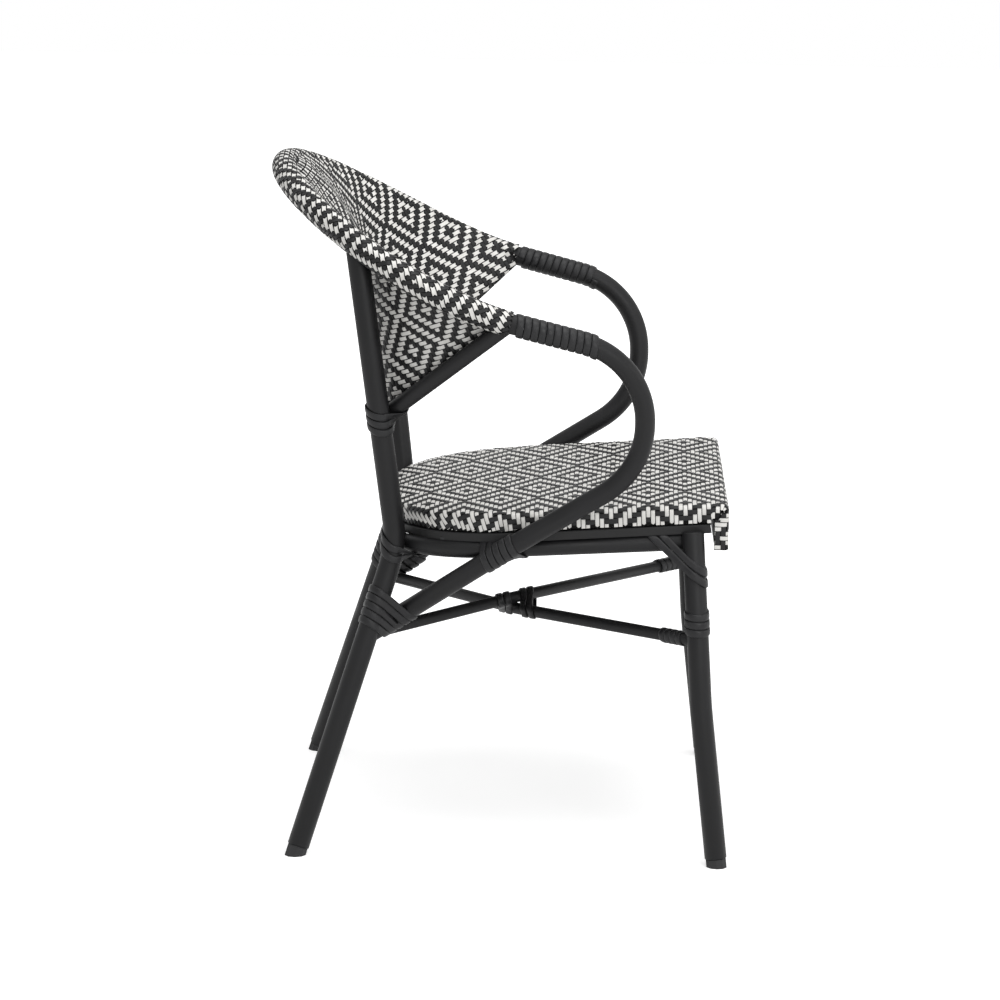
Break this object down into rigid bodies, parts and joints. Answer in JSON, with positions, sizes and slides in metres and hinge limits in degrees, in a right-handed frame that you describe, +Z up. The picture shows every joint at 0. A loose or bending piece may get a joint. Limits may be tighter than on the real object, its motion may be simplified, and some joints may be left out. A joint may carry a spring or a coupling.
{
  "type": "bistro armchair",
  "caption": "Bistro armchair with a bent black tube frame, woven two-tone seat and wrap-round back, open arms, crossed stretchers and lashed joints.",
  "frame": {"origin": "on the floor, under the middle of the chair's outline", "axes": "+Z up, the chair faces -Y, +X is the sitter's left"},
  "size_m": [0.586, 0.5906, 0.8516],
  "materials": {
    "frame": "satin black powder coat",
    "board": "painted black board",
    "weave": "two-tone woven strip, white and black",
    "binder": "satin black flat strip",
    "glide": "matt black",
    "spigot": "bare metal"
  },
  "bodies": {
    "root": {"rear_leg_left": "frame", "rear_leg_right": "frame", "front_leg_left": "frame", "front_leg_right": "frame", "arm_left": "frame", "arm_right": "frame", "top_rail": "frame", "lower_back_rail": "frame", "seat_rail": "frame", "front_cross_rail": "frame", "stretcher_upper": "frame", "stretcher_lower": "frame", "arm_spigot_left": "spigot", "arm_spigot_right": "spigot", "glide_front_left": "glide", "glide_front_right": "glide", "glide_rear_left": "glide", "glide_rear_right": "glide", "seat_base_ring": "board", "seat_hoop": "board", "seat_weave": "weave", "apron_board": "board", "apron_weave": "weave", "seat_spacer_front_left": "glide", "seat_spacer_front_right": "glide", "seat_spacer_rear_left": "glide", "seat_spacer_rear_right": "glide", "back_rim_weave": "weave", "back_panel_weave": "weave", "forearm_wrap_left": "binder", "forearm_wrap_right": "binder", "arm_leg_lashing_left": "binder", "arm_leg_lashing_right": "binder", "arm_rail_lashing_left": "binder", "arm_rail_lashing_right": "binder", "front_leg_lashing_left": "binder", "front_leg_lashing_right": "binder", "back_rail_lashing_left": "binder", "back_rail_lashing_right": "binder", "upright_rail_lashing_left": "binder", "upright_rail_lashing_right": "binder", "front_leg_wrap_left": "binder", "front_leg_wrap_right": "binder", "stretcher_front_wrap_left": "binder", "stretcher_front_wrap_right": "binder", "stretcher_cross_lashing_front": "binder", "stretcher_cross_lashing_rear": "binder"}
  },
  "joints": []
}
